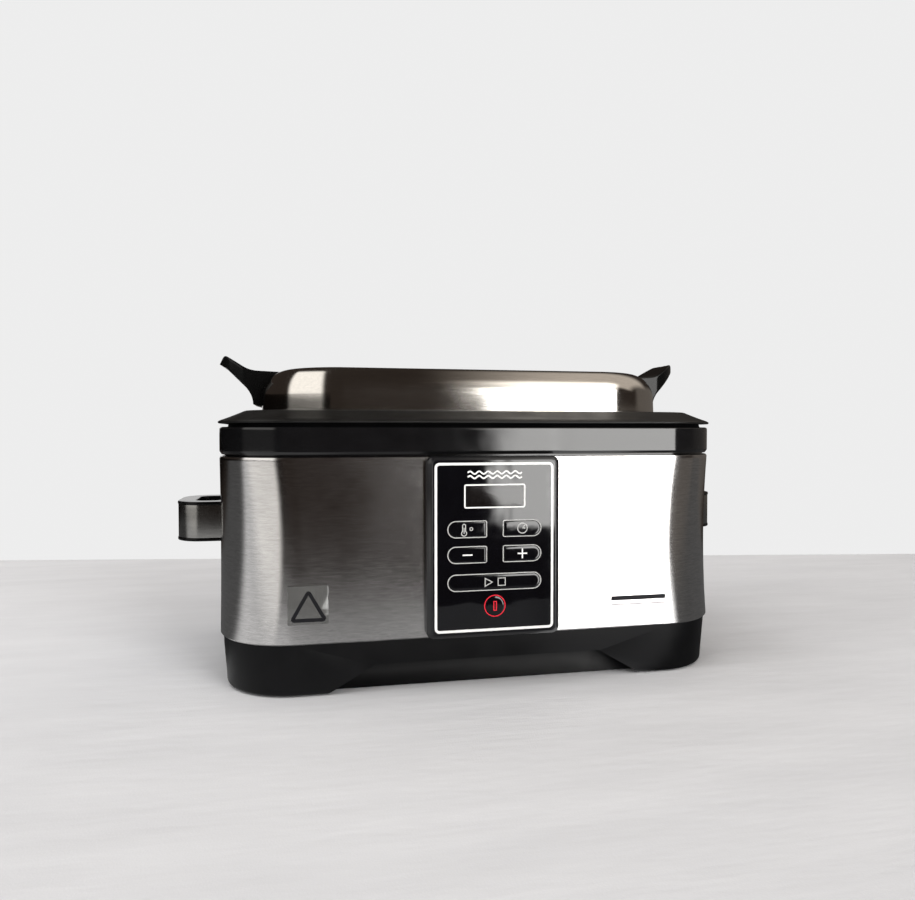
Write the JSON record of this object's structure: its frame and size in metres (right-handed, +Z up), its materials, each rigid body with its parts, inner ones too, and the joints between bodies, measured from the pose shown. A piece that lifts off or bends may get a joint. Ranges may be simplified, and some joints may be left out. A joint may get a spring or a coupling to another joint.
{
  "type": "sous vide water oven",
  "caption": "Bench-top sous vide water oven: insulated steel body, lift-out pot with pouch rack, domed lid, side handles and a front panel with display and keys.",
  "frame": {"origin": "centre of the footprint, on the surface that the rubber feet stand on", "axes": "+X to the right seen from the front, -Y out of the control panel, +Z up"},
  "size_m": [0.442, 0.2472, 0.2355],
  "materials": {
    "sleeve_steel": "fine horizontal brushing",
    "lid_steel": "fine brushing, near polished",
    "handle_steel": "fine brushing",
    "rack_wire": "polished wire",
    "sensor_steel": "polished",
    "screw_steel": "zinc plated",
    "well_aluminium": "satin, spun",
    "heater_band": "mica band under a steel jacket",
    "pot_coating": "matte non-stick coating",
    "ring_plastic": "gloss, faint orange peel",
    "handle_plastic": "gloss",
    "panel_plastic": "semi-gloss",
    "keypad_foil": "glossy printed foil, slightly wavy",
    "key_foil": "glossy embossed foil",
    "base_plastic": "fine moulded texture",
    "gland_plastic": "matte",
    "component_plastic": "matte",
    "terminal_plastic": "matte",
    "nylon": "natural nylon",
    "ceramic": "unglazed ceramic",
    "circuit_board": "solder mask",
    "copper_winding": "enamelled wire",
    "insulation": "glass wool felt",
    "foot_rubber": "matte rubber",
    "gasket_silicone": "matte silicone",
    "smoked_window": "smoked, glossy"
  },
  "bodies": {
    "housing": {"outer_sleeve": "sleeve_steel", "upper_ring": "ring_plastic", "base_tray": "base_plastic", "foot_pads": "foot_rubber", "base_screws": "screw_steel", "inner_well": "well_aluminium", "well_screws": "screw_steel", "band_heater": "heater_band", "insulation_blanket": "insulation", "temperature_sensor": "sensor_steel", "thermal_fuse": "ceramic", "power_board": "circuit_board", "board_standoffs": "nylon", "power_relay": "component_plastic", "board_capacitor": "component_plastic", "board_transformer": "copper_winding", "terminal_block": "terminal_plastic", "cord_gland": "gland_plastic", "gland_lock_plate": "gland_plastic", "side_handle_left": "handle_plastic", "side_handle_right": "handle_plastic", "handle_skin_left": "handle_steel", "handle_skin_right": "handle_steel", "side_handle_screws": "screw_steel", "panel_bezel": "panel_plastic", "bezel_screws": "screw_steel", "keypad_foil": "keypad_foil", "display_window": "smoked_window", "control_board": "circuit_board", "control_board_screws": "screw_steel", "led_display": "component_plastic", "tact_switches": "component_plastic"},
    "pot": {"cooking_pot": "pot_coating"},
    "rack": {"pouch_rack": "rack_wire"},
    "lid": {"lid_dome": "lid_steel", "lid_gasket": "gasket_silicone", "lid_handle_left": "handle_plastic", "lid_handle_right": "handle_plastic", "lid_handle_screws": "screw_steel"},
    "key_temperature_cap": {"key_temperature": "key_foil"},
    "key_timer_cap": {"key_timer": "key_foil"},
    "key_minus_cap": {"key_minus": "key_foil"},
    "key_plus_cap": {"key_plus": "key_foil"},
    "key_start_stop_cap": {"key_start_stop": "key_foil"},
    "key_power_cap": {"key_power": "key_foil"}
  },
  "joints": [
    {"name": "pot_lift", "type": "slide", "parent": "housing", "child": "pot", "axis": [0, 0, 1], "range_m": [0, 0.15]},
    {"name": "lid_lift", "type": "slide", "parent": "pot", "child": "lid", "axis": [0, 0, 1], "range_m": [0, 0.12]},
    {"name": "rack_lift", "type": "slide", "parent": "pot", "child": "rack", "axis": [0, 0, 1], "range_m": [0, 0.06]},
    {"name": "key_temperature_press", "type": "slide", "parent": "housing", "child": "key_temperature_cap", "axis": [0, 1, 0], "range_m": [0, 0.0004], "stiffness_N_per_m": 1500},
    {"name": "key_timer_press", "type": "slide", "parent": "housing", "child": "key_timer_cap", "axis": [0, 1, 0], "range_m": [0, 0.0004], "stiffness_N_per_m": 1500},
    {"name": "key_minus_press", "type": "slide", "parent": "housing", "child": "key_minus_cap", "axis": [0, 1, 0], "range_m": [0, 0.0004], "stiffness_N_per_m": 1500},
    {"name": "key_plus_press", "type": "slide", "parent": "housing", "child": "key_plus_cap", "axis": [0, 1, 0], "range_m": [0, 0.0004], "stiffness_N_per_m": 1500},
    {"name": "key_start_stop_press", "type": "slide", "parent": "housing", "child": "key_start_stop_cap", "axis": [0, 1, 0], "range_m": [0, 0.0004], "stiffness_N_per_m": 1500},
    {"name": "key_power_press", "type": "slide", "parent": "housing", "child": "key_power_cap", "axis": [0, 1, 0], "range_m": [0, 0.0004], "stiffness_N_per_m": 1500}
  ]
}
